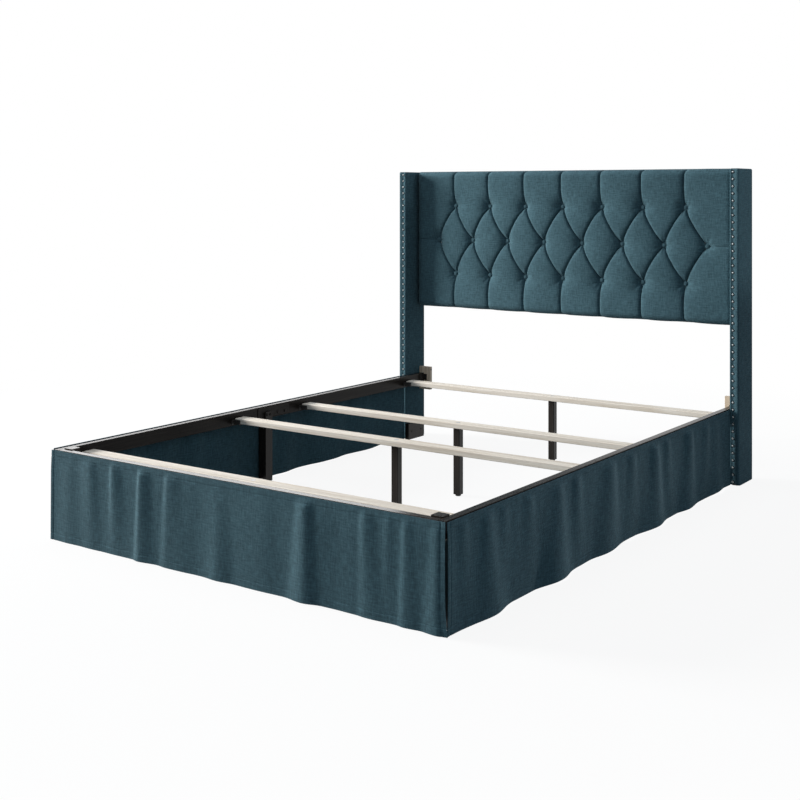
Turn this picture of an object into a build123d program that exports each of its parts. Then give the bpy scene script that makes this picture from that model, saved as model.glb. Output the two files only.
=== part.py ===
from build123d import *
import math
import os

# A wingback bed for a queen mattress. Millimetres, +Z up, +Y towards the headboard, +X to the
# right of someone who stands at the foot and looks at the headboard. The origin is on the floor,
# in the middle of the bed's outline.

# Whole bed
overall_width = 1660.0
overall_length = 2248.0
overall_height = 1267.0

# Fits that every piece shares
slip = 0.3
soft_gap = 0.4
overrun = 5.0

# Wings: a board wrapped in padding, open underneath
wing_thickness = 39.0
wing_depth = 160.0
wing_padding = 8.5
wing_back_padding = 3.0
wing_edge_radius = 7.0
wing_toe_radius = 12.0

# Headboard panel, from its quilted face to its dust cloth
panel_bottom = 631.0
panel_drop = 1.5
panel_setback = 56.0
pad_thickness = 45.0
pad_wrap = 6.0
pad_crown = 25.5
pad_side_radius = 40.0
pad_edge_radius = 27.0
board_thickness = 12.0
board_side_inset = 15.0
batten_thickness = 30.0
batten_width = 45.0
mid_stile_shares = (0.25, 0.5, 0.75)
dust_cloth_thickness = 1.5
dust_cloth_margin = 12.0

# Tufting
tuft_columns = 7
tuft_end_margin = 127.0
tuft_row_shares = (0.25, 0.5, 0.75)
pleat_half_width = 45.0
pleat_depth = 16.0
pleat_crossing = 1.2
dimple_radius = 36.0
dimple_depth = 23.5
button_radius = 10.0
button_height = 6.5
button_post_radius = 2.5
cord_hole_radius = 1.5

# Nailhead trim
nail_radius = 5.5
nail_height = 3.2
nail_inset = 14.5
nail_end_margin = 14.0
nails_per_wing = 44

# Rails
rail_top = 304.0
rail_height = 50.0
rail_thickness = 25.0
rail_wing_gap = 1.0

# Skirts: three panels that hang from hook-and-loop strips
cloth_thickness = 2.5
strip_thickness = 2.0
strip_height = 28.0
strip_drop = 3.0
skirt_drop_gap = 1.0
hem_clearance = 4.0
foot_fold_depth = 15.0
side_fold_depth = 24.0
skirt_top_share = 0.12
skirt_corner_gap = 1.5
skirt_wing_gap = 30.0
foot_fold_shares = ((0.10, 0.07, 0.45), (0.28, 0.085, 0.85), (0.47, 0.09, 0.55),
                    (0.69, 0.075, 1.0), (0.86, 0.08, 0.8))
side_fold_shares = ((0.11, 0.07, 0.65), (0.285, 0.08, 1.0), (0.46, 0.065, 0.4),
                    (0.635, 0.08, 0.75), (0.80, 0.065, 0.45), (0.93, 0.05, 0.25))

# Slats and the saddles that hold their ends
slat_width = 55.0
slat_thickness = 20.0
slat_top = 283.0
slat_edge_radius = 2.5
end_slat_inset = 126.0
centre_slat_spacing = 409.0
saddle_wall = 3.0
saddle_reach = 30.0
saddle_ear = 13.0
saddle_lip = 5.0
saddle_slip = 0.5
slat_end_gap = 2.0

# Centre legs with a screw-in glide under each
centre_leg_side = 28.5
leg_chamfer = 2.0
glide_foot_radius = 11.0
glide_foot_height = 7.0
glide_stem_radius = 4.0
glide_stem_spare = 4.0
glide_travel = 12.0
glide_running_gap = 0.1
insert_radius = 6.5
insert_length = 18.0
insert_gap = 0.05

# Legs under the side rails, and the plates that join each rail's halves
mid_leg_width = 38.0
mid_leg_depth = 40.0
mid_leg_offset = 40.0
mid_leg_tongue = 28.0
mid_leg_tongue_thickness = 10.0
joint_plate_length = 190.0
joint_plate_height = 40.0
joint_plate_margin = 4.0
plate_thickness = 3.0
plate_corner_radius = 6.0

# Posts inside the foot corners
corner_post_side = 38.0
corner_post_rise = 3.0

# Cleats, rail-end brackets and foot blocks at the wings
cleat_setback = 115.0
cleat_width = 62.0
cleat_height = 108.0
cleat_thickness = 17.0
cleat_bottom = 226.0
end_bracket_arm = 40.0
end_bracket_wing = 17.0
end_bracket_height = 28.0
end_bracket_bottom = 271.0
foot_block_thickness = 21.0
foot_block_length = 128.0
foot_block_height = 75.0
foot_block_setback = 4.0
block_edge_radius = 2.0

# Fasteners
bolt_radius = 3.0
bolt_head_radius = 6.5
bolt_head_height = 3.5
rail_bolt_bite = 18.0
slat_bolt_radius = 4.0
slat_bolt_head_radius = 9.0
slat_bolt_head_height = 2.2
slat_bolt_sink = 0.1
slat_bolt_bite = 45.0
screw_radius = 2.0
screw_head_radius = 4.0
screw_head_height = 1.8
screw_bite = 14.0
long_screw_radius = 2.5
wing_bolt_radius = 4.0
wing_bolt_head_radius = 8.0
wing_bolt_head_height = 4.0
wing_bolt_bite = 36.0
wing_bolt_row_shares = (0.15, 0.5, 0.85)
pair_row_shares = (0.27, 0.73)
side_rail_bolt_row_shares = (0.40, 0.88)
foot_rail_bolt_row_shares = (0.16, 0.64)

# Planes that several pieces share
half_width = overall_width / 2
wing_inner = half_width - wing_thickness
wing_rear = overall_length / 2
wing_front = wing_rear - wing_depth
foot_face = -overall_length / 2 + foot_fold_depth + cloth_thickness + strip_thickness
rail_outer = wing_inner - rail_wing_gap
rail_inner = rail_outer - rail_thickness
rail_bottom = rail_top - rail_height
cleat_front = wing_front + cleat_setback
rail_middle = (foot_face + cleat_front) / 2
mid_leg_centre = rail_middle - mid_leg_offset
slat_bottom = slat_top - slat_thickness
panel_top = overall_height - panel_drop
panel_front = wing_front + panel_setback
board_front = panel_front + pad_thickness
board_back = board_front + board_thickness
frame_back = board_back + batten_thickness
panel_half = wing_inner - soft_gap
frame_half = panel_half - soft_gap
board_half = frame_half - board_side_inset
tuft_column_pitch = 2 * (panel_half - tuft_end_margin) / tuft_columns
frame_bottom = panel_bottom + pad_wrap
frame_top = panel_top - pad_wrap
core_inner = wing_inner + wing_padding
core_outer = half_width - wing_padding
skirt_top = rail_top - skirt_drop_gap
glide_stem_length = insert_length + glide_travel + glide_stem_spare
joint_plate_top = rail_top - joint_plate_margin
joint_plate_bottom = joint_plate_top - joint_plate_height

centre_slat_offset = centre_slat_spacing / 2
end_slat_offset = (cleat_front - foot_face) / 2 - end_slat_inset
slat_places = [rail_middle + offset for offset in
               (end_slat_offset, centre_slat_offset, -centre_slat_offset, -end_slat_offset)]


def block(x_span, y_span, z_span):
    """A box between two planes in each direction."""
    spans = [sorted(span) for span in (x_span, y_span, z_span)]
    size = [high - low for low, high in spans]
    middle = [(high + low) / 2 for low, high in spans]
    return Pos(*middle) * Box(*size)


def rod(start, end, radius):
    """A round bar between two points."""
    path = Vector(*end) - Vector(*start)
    return Plane(origin=start, z_dir=path) * Cylinder(
        radius, path.length, align=(Align.CENTER, Align.CENTER, Align.MIN))


def along(start, direction, distance):
    """The point a distance from start along a unit direction."""
    return tuple(place + distance * step for place, step in zip(start, direction))


def bolt(seat, direction, length, radius, head_radius, head_height):
    """A bolt whose head stands on the seat and whose shank runs along the direction."""
    top = along(seat, direction, -head_height)
    head = rod(top, seat, head_radius)
    crown = head.edges().filter_by(GeomType.CIRCLE).sort_by_distance(top)[0]
    head = fillet(crown, head_height / 2)
    return head + rod(seat, along(seat, direction, length), radius)


def shank_hole(seat, direction, length, radius):
    """The clearance hole for a shank, past both of its ends."""
    return rod(along(seat, direction, -overrun), along(seat, direction, length + slip),
               radius + slip)


def group(solids):
    """Several separate solids of one node."""
    return Compound(children=list(solids))


def spread(low, high, shares):
    """Places between two ends, at the given shares of the way."""
    return [low + share * (high - low) for share in shares]


# Fasteners: each list holds the seat, direction, length and radii that bolts and holes share.

def corner_bolts(side):
    """Through the post from inside: two into the side rail and two into the foot rail."""
    post_inner = side * (rail_inner - corner_post_side)
    post_middle = side * (rail_inner - corner_post_side / 2)
    post_back = foot_face + rail_thickness + corner_post_side
    post_centre = foot_face + rail_thickness + corner_post_side / 2
    length = corner_post_side + rail_bolt_bite
    into_side = [((post_inner, post_centre, z), (side, 0, 0), length)
                 for z in spread(rail_bottom, rail_top, side_rail_bolt_row_shares)]
    into_foot = [((post_middle, post_back, z), (0, -1, 0), length)
                 for z in spread(rail_bottom, rail_top, foot_rail_bolt_row_shares)]
    return into_side + into_foot


def leg_bolts(side):
    """Two through the mid-rail leg's tongue and the joint plate."""
    seat = side * (rail_inner - plate_thickness - mid_leg_tongue_thickness)
    length = mid_leg_tongue_thickness + plate_thickness + rail_bolt_bite
    row = (joint_plate_bottom + rail_bottom + mid_leg_tongue) / 2
    ends = (mid_leg_centre - mid_leg_depth / 2, mid_leg_centre + mid_leg_depth / 2)
    return [((seat, y, row), (side, 0, 0), length) for y in spread(*ends, pair_row_shares)]


def plate_bolts(side):
    """Two at the far end of the joint plate, in the rear half of the rail."""
    seat = side * (rail_inner - plate_thickness)
    length = plate_thickness + rail_bolt_bite
    row = (joint_plate_bottom + rail_bottom + mid_leg_tongue) / 2
    ends = (rail_middle, rail_middle + joint_plate_length / 2)
    return [((seat, y, row), (side, 0, 0), length) for y in spread(*ends, pair_row_shares)]


def bracket_bolts(side):
    """Rail-end bracket: two into the rail, one into the cleat."""
    row = end_bracket_bottom + end_bracket_height / 2
    on_rail = side * (rail_inner - plate_thickness)
    on_cleat = side * (rail_inner - plate_thickness / 2 - end_bracket_wing / 2)
    rail_seats = [((on_rail, y, row), (side, 0, 0), plate_thickness + screw_bite)
                  for y in spread(cleat_front - end_bracket_arm, cleat_front, (0.25, 0.65))]
    return rail_seats + [((on_cleat, cleat_front - plate_thickness, row), (0, 1, 0),
                          plate_thickness + screw_bite)]


def saddle_screws(side, slat_y):
    """One through each ear of a saddle."""
    seat = side * (rail_inner - saddle_wall)
    row = (slat_top + slat_bottom) / 2
    reach = slat_width / 2 + saddle_slip + saddle_wall + saddle_ear / 2
    return [((seat, slat_y + end * reach, row), (side, 0, 0), saddle_wall + screw_bite)
            for end in (-1, 1)]


def wing_screws(side):
    """Long screws from the cleat and the foot block into the wing's board."""
    cleat_seat = side * (wing_inner - cleat_width)
    cleat_middle = cleat_front + cleat_thickness / 2
    cleat_length = cleat_width + wing_padding + screw_bite
    rows = spread(cleat_bottom, cleat_bottom + cleat_height, (0.15, 0.88))
    cleat = [((cleat_seat, cleat_middle, z), (side, 0, 0), cleat_length) for z in rows]
    block_seat = side * (wing_inner - foot_block_thickness)
    block_front = wing_front - foot_block_setback
    block_length = foot_block_thickness + wing_padding + screw_bite
    places = spread(block_front, block_front + foot_block_length, (0.2, 0.8))
    foot = [((block_seat, y, foot_block_height / 2), (side, 0, 0), block_length)
            for y in places]
    return cleat, foot


def wing_bolts(side):
    """Three from inside the wing's board into the headboard frame's end stile."""
    seat = side * (core_outer - wing_bolt_head_height - slip)
    length = abs(seat) - wing_inner + soft_gap + wing_bolt_bite
    middle = (board_back + frame_back) / 2
    return [((seat, middle, z), (-side, 0, 0), length)
            for z in spread(panel_bottom, panel_top, wing_bolt_row_shares)]


def slat_bolt(slat_y):
    """Down through a slat into its centre leg, with its head sunk just below the slat's top."""
    seat = slat_top - slat_bolt_sink - slat_bolt_head_height
    return ((0, slat_y, seat), (0, 0, -1), seat - slat_bottom + slat_bolt_bite)


def drilled(piece, seats, radius):
    """The piece with a clearance hole for each fastener in the list."""
    return piece - [shank_hole(seat, way, length, radius) for seat, way, length in seats]


def carved(piece, cutters):
    """The piece with each cutter taken away in turn."""
    for cutter in cutters:
        piece = piece - cutter
    return piece


# Headboard

def tuft_points():
    """Button places on the panel's face as (x, z), row by row; the middle row has one more."""
    low, middle, high = spread(panel_bottom, panel_top, tuft_row_shares)
    short = [tuft_column_pitch * (i - (tuft_columns - 1) / 2) for i in range(tuft_columns)]
    long = [tuft_column_pitch * (i - tuft_columns / 2) for i in range(tuft_columns + 1)]
    return [(x, low) for x in short], [(x, middle) for x in long], [(x, high) for x in short]


def pleat_lines():
    """Folds between neighbouring buttons, and from the outer buttons to the panel's edges."""
    low, middle, high = tuft_points()
    lines = []
    for i in range(tuft_columns):
        for row, edge in ((low, panel_bottom - overrun), (high, panel_top + overrun)):
            lines += [(middle[i], row[i]), (row[i], middle[i + 1]), (row[i], (row[i][0], edge))]
    for end in (middle[0], middle[-1]):
        lines.append((end, (math.copysign(panel_half + overrun, end[0]), end[1])))
    return lines


def crown_arc():
    """The pad's crowned front in plan, from one wing to the other."""
    return ThreePointArc((-panel_half, panel_front + pad_crown), (0, panel_front),
                         (panel_half, panel_front + pad_crown))


def crown_drop(x):
    """How far the crowned front lies behind its middle at a place across the panel."""
    radius = (panel_half ** 2 + pad_crown ** 2) / (2 * pad_crown)
    return radius - math.sqrt(radius ** 2 - x ** 2)


def pleat_cutter(start, end):
    """What a fold removes: two convex shoulders that meet in a sharp valley."""
    reach, depth = pleat_half_width, pleat_depth
    radius = (reach ** 2 + (depth + pleat_crossing) ** 2) / (2 * (depth + pleat_crossing))
    turn = math.asin(reach / radius) / 2
    shoulder = (reach - radius * math.sin(turn),
                radius - pleat_crossing - radius * math.cos(turn))
    lift = -pleat_crossing - overrun
    outline = [
        ThreePointArc((-reach, -pleat_crossing), (-shoulder[0], shoulder[1]), (0, depth)),
        ThreePointArc((0, depth), shoulder, (reach, -pleat_crossing)),
        Polyline((reach, -pleat_crossing), (reach, lift), (-reach, lift),
                 (-reach, -pleat_crossing)),
    ]
    low, high = [Vector(x, panel_front + crown_drop(x), z) for x, z in (start, end)]
    way = high - low
    plane = Plane(origin=low, x_dir=(way.Z, 0, -way.X), z_dir=way)
    return extrude(plane * make_face(outline), amount=way.length)


def tufted_pad():
    """The quilted cover: foam and cloth over the front, top and bottom of the board."""
    crown = crown_arc()
    plan = make_face([crown, Polyline(crown @ 1, (panel_half, frame_back),
                                      (-panel_half, frame_back), crown @ 0)])
    pad = extrude(Pos(0, 0, panel_bottom) * plan, amount=panel_top - panel_bottom)
    corners = pad.edges().filter_by(Axis.Z).sort_by(Axis.Y)[:2]
    pad = fillet(corners, pad_side_radius)
    rims = pad.edges().filter_by(GeomType.CIRCLE).sort_by(Edge.length)[-2:]
    pad = fillet(rims, pad_edge_radius)
    pad = carved(pad, [pleat_cutter(*line) for line in pleat_lines()])
    points = [point for row in tuft_points() for point in row]
    dimple_height = dimple_depth + pleat_crossing
    dimple = Rot(90, 0, 0) * Cone(button_radius, dimple_radius, dimple_height,
                                  align=(Align.CENTER, Align.CENTER, Align.MAX))
    pad = carved(pad, [Pos(x, panel_front + crown_drop(x) - pleat_crossing, z) * dimple
                       for x, z in points])
    pad -= [rod((x, panel_front, z), (x, board_front + overrun, z), button_post_radius + slip)
            for x, z in points]
    hollow = (frame_bottom - slip, frame_top + slip)
    pad -= block((-board_half - slip, board_half + slip), (board_front, board_back), hollow)
    pad -= block((-half_width, half_width), (board_back, frame_back + overrun), hollow)
    return pad


def tuft_buttons():
    """Domed cloth buttons, each on a post that the tufting cord pulls against the board."""
    buttons = []
    for row in tuft_points():
        for x, z in row:
            seat = panel_front + crown_drop(x) + dimple_depth
            dome = rod((x, seat - button_height, z), (x, seat, z), button_radius - slip)
            rim = dome.edges().filter_by(GeomType.CIRCLE).sort_by(Axis.Y)[0]
            dome = fillet(rim, button_height - slip)
            buttons.append(dome + rod((x, seat, z), (x, board_front, z), button_post_radius))
    return group(buttons)


def headboard_board():
    """Plywood behind the foam, with a hole for the cord of each button."""
    board = block((-board_half, board_half), (board_front, board_back), (frame_bottom, frame_top))
    return board - [rod((x, board_front - overrun, z), (x, board_back + overrun, z),
                        cord_hole_radius) for row in tuft_points() for x, z in row]


def headboard_frame():
    """Pine battens behind the board: two rails between two end stiles, and three mid stiles."""
    depth = (board_back, frame_back)
    stile_inner = frame_half - batten_width
    ends = [drilled(block((side * stile_inner, side * frame_half), depth,
                          (frame_bottom, frame_top)), wing_bolts(side), wing_bolt_radius)
            for side in (-1, 1)]
    rails = [block((-stile_inner, stile_inner), depth, span) for span in
             ((frame_bottom, frame_bottom + batten_width), (frame_top - batten_width, frame_top))]
    mids = [block((x - batten_width / 2, x + batten_width / 2), depth,
                  (frame_bottom + batten_width, frame_top - batten_width))
            for x in spread(-frame_half, frame_half, mid_stile_shares)]
    return group(ends + rails + mids)


def headboard_dust_cloth():
    """The cloth stapled over the back of the frame."""
    edge = frame_half - dust_cloth_margin
    return block((-edge, edge), (frame_back, frame_back + dust_cloth_thickness),
                 (panel_bottom + dust_cloth_margin, panel_top - dust_cloth_margin))


# Wings

def wing_core(side):
    """The board inside a wing; it stands on the floor and carries the headboard and cleat."""
    core = block((side * core_inner, side * core_outer),
                 (wing_front + wing_padding, wing_rear - wing_back_padding),
                 (0, overall_height - wing_padding))
    cleat, foot = wing_screws(side)
    core = drilled(core, cleat + foot, long_screw_radius)
    core = drilled(core, wing_bolts(side), wing_bolt_radius)
    return core - [rod(seat, along(seat, way, -wing_bolt_head_height - overrun),
                       wing_bolt_head_radius + slip) for seat, way, _ in wing_bolts(side)]


def wing_cover(side):
    """Padding and cloth round a wing's board, with rounded edges and an open underside."""
    cover = block((side * wing_inner, side * half_width), (wing_front, wing_rear),
                  (0, overall_height))
    toe = cover.faces().sort_by(Axis.Z)[0].edges().sort_by(Axis.Y)[0]
    cover = fillet(toe, wing_toe_radius)
    front = cover.faces().sort_by(Axis.Y)[0]
    sides = front.edges().filter_by(Axis.Z)
    crown = cover.faces().sort_by(Axis.Z)[-1].edges()
    cover = fillet(sides + crown, wing_edge_radius)
    cover -= block((side * core_inner, side * core_outer),
                   (wing_front + wing_padding, wing_rear - wing_back_padding),
                   (-overrun, overall_height - wing_padding))
    cleat, foot = wing_screws(side)
    cover = drilled(cover, cleat + foot, long_screw_radius)
    return drilled(cover, wing_bolts(side), wing_bolt_radius)


def nailheads(side):
    """One column of domed nails down the front edge of a wing."""
    x = side * (wing_inner + nail_inset)
    pitch = (overall_height - 2 * nail_end_margin) / (nails_per_wing - 1)
    sphere_radius = (nail_radius ** 2 + nail_height ** 2) / (2 * nail_height)
    flat = Plane(origin=(x, wing_front, 0), x_dir=(1, 0, 0), z_dir=(0, 0, 1))
    rim, crown = (nail_radius, 0), (0, -nail_height)
    turn = math.asin(nail_radius / sphere_radius) / 2
    bulge = (sphere_radius * math.sin(turn),
             sphere_radius - nail_height - sphere_radius * math.cos(turn))
    profile = make_face([ThreePointArc(rim, bulge, crown), Line(crown, (0, 0)),
                         Line((0, 0), rim)])
    axis = Axis((x, wing_front, 0), (0, 1, 0))
    dome = revolve(flat * profile, axis)
    return group(Pos(0, 0, nail_end_margin + i * pitch) * dome for i in range(nails_per_wing))


def foot_block(side):
    """The dark wooden block against the inside of a wing, on the floor."""
    front = wing_front - foot_block_setback
    piece = block((side * wing_inner, side * (wing_inner - foot_block_thickness)),
                  (front, front + foot_block_length), (0, foot_block_height))
    inner = piece.faces().sort_by(Axis.X)[0 if side > 0 else -1]
    piece = chamfer(inner.edges().filter_by(Axis.Z), block_edge_radius)
    return drilled(piece, wing_screws(side)[1], long_screw_radius)


def rail_cleat(side):
    """The wooden cleat on a wing that takes the end of a side rail."""
    piece = block((side * wing_inner, side * (wing_inner - cleat_width)),
                  (cleat_front, cleat_front + cleat_thickness),
                  (cleat_bottom, cleat_bottom + cleat_height))
    piece = chamfer(piece.edges().filter_by(Axis.Z), block_edge_radius / 2)
    piece = drilled(piece, bracket_bolts(side), screw_radius)
    return drilled(piece, wing_screws(side)[0], long_screw_radius)


def rail_end_bracket(side):
    """A steel angle in the corner between a side rail and its cleat."""
    height = (end_bracket_bottom, end_bracket_bottom + end_bracket_height)
    face = rail_inner - plate_thickness
    arm = block((side * rail_inner, side * face), (cleat_front - end_bracket_arm, cleat_front),
                height)
    wing = block((side * face, side * (rail_inner - end_bracket_wing)),
                 (cleat_front - plate_thickness, cleat_front), height)
    angle = arm + wing
    tip = angle.faces().sort_by(Axis.Y)[0].edges().filter_by(Axis.X)
    angle = fillet(tip, plate_corner_radius)
    return drilled(angle, bracket_bolts(side), screw_radius)


# Rails, posts and legs

def side_rail(side, end):
    """Half of a side rail; the front half has end -1 and the rear half has end 1."""
    span = (foot_face, rail_middle) if end < 0 else (rail_middle, cleat_front)
    rail = block((side * rail_inner, side * rail_outer), span, (rail_bottom, rail_top))
    rail = chamfer(rail.edges().filter_by(Axis.Y), block_edge_radius / 2)
    if end < 0:
        rail = drilled(rail, corner_bolts(side) + leg_bolts(side), bolt_radius)
        slats = slat_places[2:]
    else:
        rail = drilled(rail, plate_bolts(side), bolt_radius)
        rail = drilled(rail, bracket_bolts(side), screw_radius)
        slats = slat_places[:2]
    seats = [seat for slat_y in slats for seat in saddle_screws(side, slat_y)]
    return drilled(rail, seats, screw_radius)


def foot_rail():
    """The rail across the foot, between the side rails."""
    rail = block((-rail_inner, rail_inner), (foot_face, foot_face + rail_thickness),
                 (rail_bottom, rail_top))
    rail = chamfer(rail.edges().filter_by(Axis.X), block_edge_radius / 2)
    for side in (-1, 1):
        rail = drilled(rail, corner_bolts(side), bolt_radius)
    return rail


def corner_post(side):
    """The leg inside a foot corner; its top stands just above the rails."""
    back = foot_face + rail_thickness
    post = block((side * rail_inner, side * (rail_inner - corner_post_side)),
                 (back, back + corner_post_side), (0, rail_top + corner_post_rise))
    post = chamfer(post.edges().filter_by(Axis.Z), leg_chamfer)
    return drilled(post, corner_bolts(side), bolt_radius)


def joint_plate(side):
    """The steel plate that joins the two halves of a side rail."""
    plate = block((side * rail_inner, side * (rail_inner - plate_thickness)),
                  (rail_middle - joint_plate_length / 2, rail_middle + joint_plate_length / 2),
                  (joint_plate_bottom, joint_plate_top))
    plate = fillet(plate.edges().filter_by(Axis.X), plate_corner_radius)
    return drilled(plate, leg_bolts(side) + plate_bolts(side), bolt_radius)


def mid_leg(side):
    """The leg under a side rail, with a tongue that laps the joint plate."""
    depth = (mid_leg_centre - mid_leg_depth / 2, mid_leg_centre + mid_leg_depth / 2)
    shaft = block((side * rail_outer, side * (rail_outer - mid_leg_width)), depth,
                  (0, rail_bottom))
    seat = rail_inner - plate_thickness
    tongue = block((side * seat, side * (seat - mid_leg_tongue_thickness)), depth,
                   (0, rail_bottom + mid_leg_tongue))
    leg = shaft + tongue
    corners = leg.faces().sort_by(Axis.Z)[0].edges()
    leg = chamfer(corners, leg_chamfer)
    return drilled(leg, leg_bolts(side), bolt_radius)


# Slats, saddles and centre legs

def slat(slat_y):
    """A pine slat with eased edges and a bolt hole over its centre leg."""
    half_length = rail_inner - saddle_wall - slat_end_gap
    board = block((-half_length, half_length), (slat_y - slat_width / 2, slat_y + slat_width / 2),
                  (slat_bottom, slat_top))
    board = fillet(board.edges().filter_by(Axis.X), slat_edge_radius)
    seat, up = slat_bolt(slat_y)[0], (0, 0, 1)
    board -= rod(seat, along(seat, up, slat_bolt_head_height + overrun),
                 slat_bolt_head_radius + slip)
    return drilled(board, [slat_bolt(slat_y)], slat_bolt_radius)


def slat_saddle(side, slat_y):
    """A moulded U that the end of a slat drops into, with a screw ear at each side."""
    inside = slat_width / 2 + saddle_slip
    outside = inside + saddle_wall
    floor = slat_bottom - saddle_wall
    back = rail_inner - saddle_wall
    rim = slat_top - saddle_lip
    ears = block((side * rail_inner, side * back),
                 (slat_y - outside - saddle_ear, slat_y + outside + saddle_ear), (floor, rim))
    ears = fillet(ears.edges().filter_by(Axis.X), saddle_ear / 2)
    cradle = block((side * back, side * (back - saddle_reach)),
                   (slat_y - outside, slat_y + outside), (floor, rim))
    nose = cradle.faces().sort_by(Axis.X)[0 if side > 0 else -1]
    cradle = fillet(nose.edges().filter_by(Axis.Z), saddle_wall / 2)
    hollow = block((side * back, side * (back - saddle_reach - overrun)),
                   (slat_y - inside, slat_y + inside), (slat_bottom, slat_top))
    saddle = ears + cradle - hollow
    return drilled(saddle, saddle_screws(side, slat_y), screw_radius)


def centre_leg(slat_y):
    """A square leg under the middle of a slat, bored for its bolt and its glide."""
    half = centre_leg_side / 2
    leg = block((-half, half), (slat_y - half, slat_y + half), (glide_foot_height, slat_bottom))
    leg = chamfer(leg.edges().filter_by(Axis.Z), leg_chamfer)
    leg = drilled(leg, [slat_bolt(slat_y)], slat_bolt_radius)
    stem_bore = rod((0, slat_y, glide_foot_height - overrun),
                    (0, slat_y, glide_foot_height + glide_stem_length + slip),
                    glide_stem_radius + glide_running_gap)
    insert_bore = rod((0, slat_y, glide_foot_height - overrun),
                      (0, slat_y, glide_foot_height + insert_length), insert_radius + insert_gap)
    return leg - stem_bore - insert_bore


def leg_inserts():
    """The threaded sleeve in the bottom of each centre leg."""
    sleeves = []
    for slat_y in slat_places:
        low = (0, slat_y, glide_foot_height)
        high = (0, slat_y, glide_foot_height + insert_length)
        sleeve = rod(low, high, insert_radius)
        sleeves.append(sleeve - rod(low, high, glide_stem_radius + glide_running_gap))
    return group(sleeves)


def leg_glide(slat_y):
    """A levelling glide: a round foot on a stem, screwed right up under its leg."""
    foot = rod((0, slat_y, 0), (0, slat_y, glide_foot_height), glide_foot_radius)
    rims = foot.edges().filter_by(GeomType.CIRCLE).group_by(Axis.Z)[0]
    foot = chamfer(rims, glide_foot_height / 4)
    stem_top = glide_foot_height + glide_stem_length
    return foot + rod((0, slat_y, glide_foot_height), (0, slat_y, stem_top), glide_stem_radius)


# Skirts

def fold_outline(length, folds, depth, level):
    """The edge of a skirt at one height: flat cloth with folds that bulge out by the depth.

    Each fold is an S of two arcs up to its crest and the same again down to the flat."""
    outer, inner = [], []
    place = 0
    for centre_share, half_share, depth_share in folds:
        half, rise = half_share * length, depth_share * depth
        start = centre_share * length - half
        outer.append(((place, 0), None, (start, 0)))
        radius = (half ** 2 + rise ** 2) / (4 * rise)
        sweep = math.asin(half / 2 / radius)
        bow = radius * math.sin(sweep / 2)
        lift = radius - radius * math.cos(sweep / 2)
        knee, crest, far_knee = start + half / 2, start + half, start + half * 3 / 2
        outer += [((start, 0), (start + bow, -lift), (knee, -rise / 2)),
                  ((knee, -rise / 2), (crest - bow, lift - rise), (crest, -rise)),
                  ((crest, -rise), (crest + bow, lift - rise), (far_knee, -rise / 2)),
                  ((far_knee, -rise / 2), (start + 2 * half - bow, -lift),
                   (start + 2 * half, 0))]
        place = start + 2 * half
    outer.append(((place, 0), None, (length, 0)))
    for first, middle, last in reversed(outer):
        back = [None if point is None else (point[0], point[1] + cloth_thickness)
                for point in (last, middle, first)]
        inner.append(tuple(back))
    edges = []
    for first, middle, last in outer + inner:
        if middle is None:
            edges.append(Line(first, last))
        else:
            edges.append(ThreePointArc(first, middle, last))
    edges.append(Line((length, 0), (length, cloth_thickness)))
    edges.append(Line((0, cloth_thickness), (0, 0)))
    return Pos(0, 0, level) * make_face(edges)


def skirt_panel(length, folds, depth):
    """A hanging panel along +X with its face towards -Y; the folds deepen towards the hem."""
    hem = fold_outline(length, folds, depth, hem_clearance)
    top = fold_outline(length, folds, depth * skirt_top_share, skirt_top)
    return loft([hem, top], ruled=True)


def foot_skirt():
    """The skirt across the foot, just short of both corners."""
    edge = rail_outer - skirt_corner_gap
    face = foot_face - strip_thickness - cloth_thickness
    return Pos(-edge, face, 0) * skirt_panel(2 * edge, foot_fold_shares, foot_fold_depth)


def side_skirt(side):
    """The skirt along a side rail, from the foot corner to just short of the wing."""
    start, end = foot_face + skirt_corner_gap, wing_front - skirt_wing_gap
    folds = side_fold_shares
    if side < 0:
        folds = tuple((1 - centre, half, depth) for centre, half, depth in reversed(folds))
    panel = skirt_panel(end - start, folds, side_fold_depth)
    face = rail_outer + strip_thickness + cloth_thickness
    if side > 0:
        return Pos(face, start, 0) * Rot(0, 0, 90) * panel
    return Pos(-face, end, 0) * Rot(0, 0, -90) * panel


def skirt_strips():
    """Hook-and-loop strips along the outer faces of the rails, one node for each skirt."""
    high = skirt_top - strip_drop
    height = (high - strip_height, high)
    edge = rail_outer - skirt_corner_gap
    ends = (foot_face + skirt_corner_gap, wing_front - skirt_wing_gap)
    strips = {"skirt_strip_foot": block((-edge, edge), (foot_face, foot_face - strip_thickness),
                                        height)}
    for name, side in (("left", -1), ("right", 1)):
        strips["skirt_strip_" + name] = block(
            (side * rail_outer, side * (rail_outer + strip_thickness)), ends, height)
    return strips


def rail_bolts():
    """Bolts of the foot corners, the mid-rail legs and the joint plates."""
    seats = [seat for side in (-1, 1)
             for seat in corner_bolts(side) + leg_bolts(side) + plate_bolts(side)]
    return group(bolt(*seat, bolt_radius, bolt_head_radius, bolt_head_height) for seat in seats)


def wood_screws():
    """Screws of the saddles and rail-end brackets, and the long ones into the wings."""
    short, long = [], []
    for side in (-1, 1):
        short += bracket_bolts(side)
        for slat_y in slat_places:
            short += saddle_screws(side, slat_y)
        cleat, foot = wing_screws(side)
        long += cleat + foot
    heads = (screw_head_radius, screw_head_height)
    return group([bolt(*seat, screw_radius, *heads) for seat in short]
                 + [bolt(*seat, long_screw_radius, *heads) for seat in long])


def headboard_bolts():
    """Bolts between the wings' boards and the headboard frame."""
    seats = wing_bolts(-1) + wing_bolts(1)
    return group(bolt(*seat, wing_bolt_radius, wing_bolt_head_radius, wing_bolt_head_height)
                 for seat in seats)


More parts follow.
